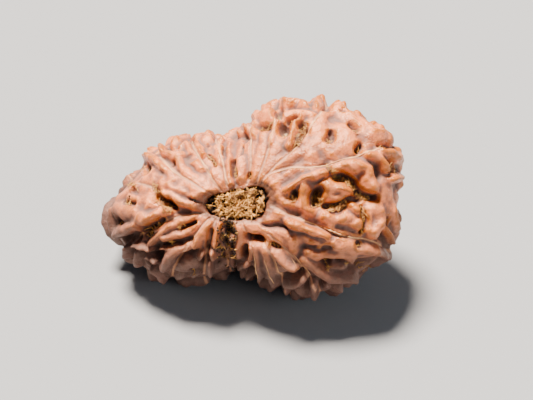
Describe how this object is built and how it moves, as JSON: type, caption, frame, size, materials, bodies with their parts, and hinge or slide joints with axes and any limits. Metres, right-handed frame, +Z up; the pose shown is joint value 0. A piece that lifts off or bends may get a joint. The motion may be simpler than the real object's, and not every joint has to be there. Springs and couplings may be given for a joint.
{
  "type": "rudraksha seed",
  "caption": "Dried stone of an oblong rudraksha fruit, lying on its side: worm-like folds, pits and fine seams spread from an oval stem hole filled with dry fibre",
  "frame": {"origin": "middle of the seed's bounding box, on the surface that it lies on", "axes": "+X along the seed's length to its wide end, +Z up; the stem hole faces -Y and about 40 degrees up"},
  "size_m": [0.033, 0.0213, 0.0208],
  "materials": {
    "stone": "satin",
    "fibre": "matte, crumbly"
  },
  "bodies": {
    "root": {"stone": "stone", "stem_fibre": "fibre", "blossom_fibre": "fibre"}
  },
  "joints": []
}
